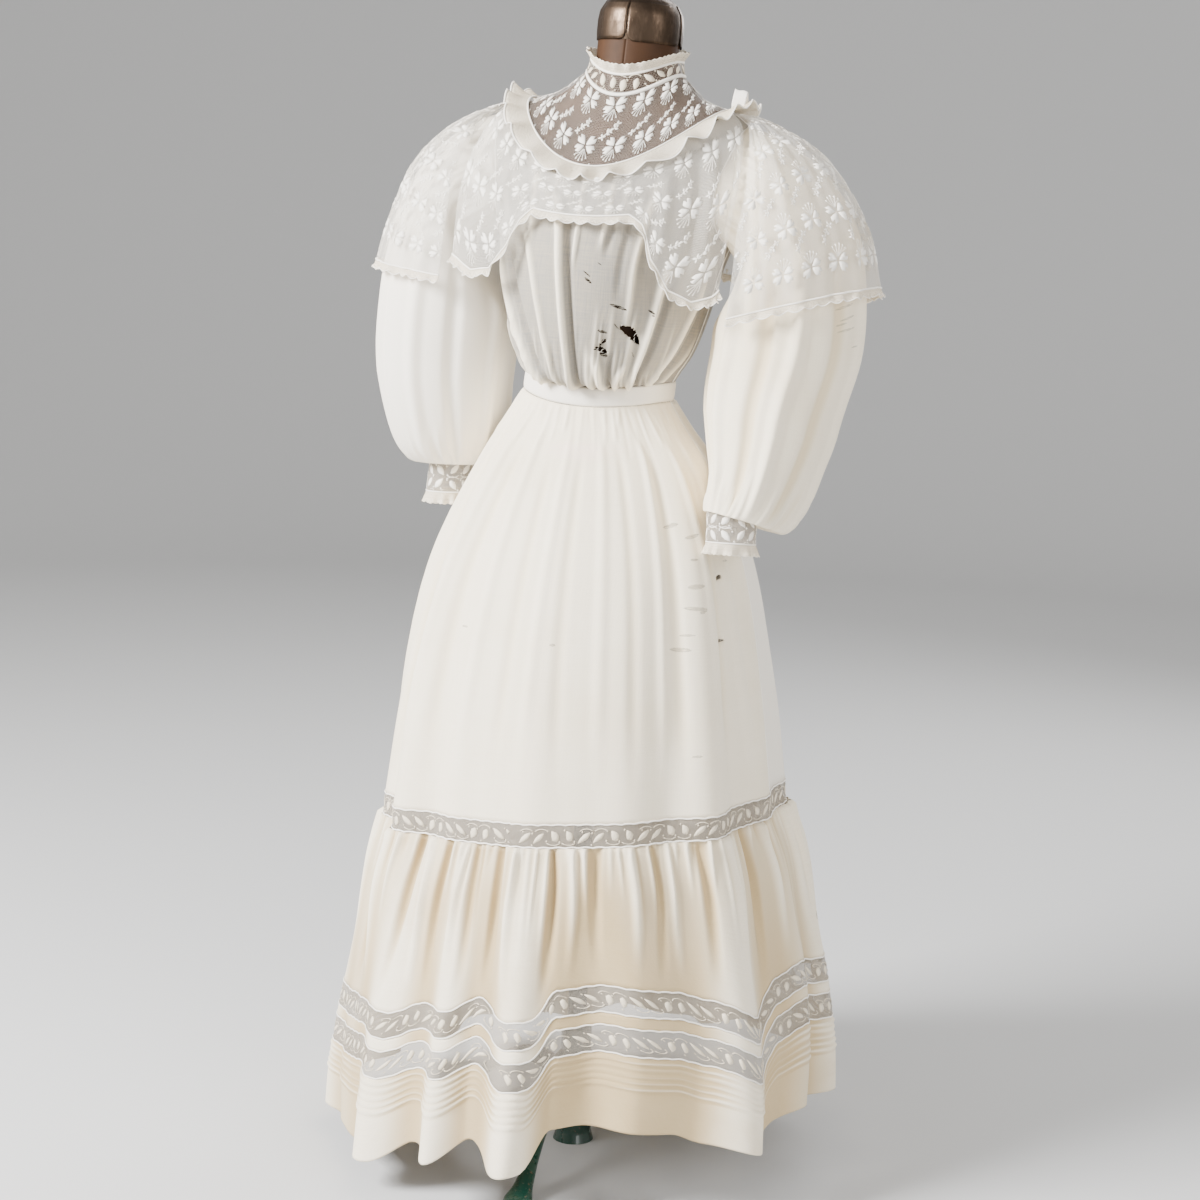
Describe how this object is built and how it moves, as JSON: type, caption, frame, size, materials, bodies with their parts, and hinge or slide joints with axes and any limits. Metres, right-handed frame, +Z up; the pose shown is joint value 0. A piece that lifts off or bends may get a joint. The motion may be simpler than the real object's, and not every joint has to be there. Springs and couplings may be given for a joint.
{
  "type": "lace dress on dress form",
  "caption": "Long antique day dress with a lace yoke and cape collar, full bishop sleeves and a flounced skirt, standing on a limbless dress form with a tripod foot.",
  "frame": {"origin": "middle of the stand hub's flat sole, on the floor below the pole", "axes": "+Z up along the pole, -Y the dress's front, +X the wearer's left"},
  "size_m": [0.7098, 0.769, 1.5567],
  "materials": {
    "voile": "thin cotton voile, matt",
    "lace_net": "embroidered cotton net",
    "lace_edging": "gathered cotton lace",
    "form_cover": "dark brown cloth cover",
    "neck_cap": "aged bronze plates",
    "iron": "dark green gloss paint"
  },
  "bodies": {
    "root": {"form_body": "form_cover", "neck_cap": "neck_cap", "stand_pole": "iron", "stand_hub": "iron", "stand_leg_front": "iron", "stand_leg_left": "iron", "stand_leg_right": "iron", "bodice_front": "voile", "bodice_back": "voile", "yoke_front": "lace_net", "yoke_back": "lace_net", "collar": "lace_net", "collar_ruffle": "lace_edging", "neckline_ruffle": "lace_edging", "cape_front": "lace_net", "cape_back": "lace_net", "sleeve_cape_right": "lace_net", "sleeve_cape_left": "lace_net", "sleeve_right": "voile", "sleeve_left": "voile", "cuff_right": "lace_net", "cuff_left": "lace_net", "cuff_ruffle_right": "lace_edging", "cuff_ruffle_left": "lace_edging", "waistband": "voile", "skirt_front": "voile", "skirt_back": "voile", "lace_band_1": "lace_net", "flounce": "voile", "lace_band_2": "lace_net", "flounce_strip": "voile", "lace_band_3": "lace_net", "hem_panel": "voile", "shoulder_loop": "lace_edging"}
  },
  "joints": []
}
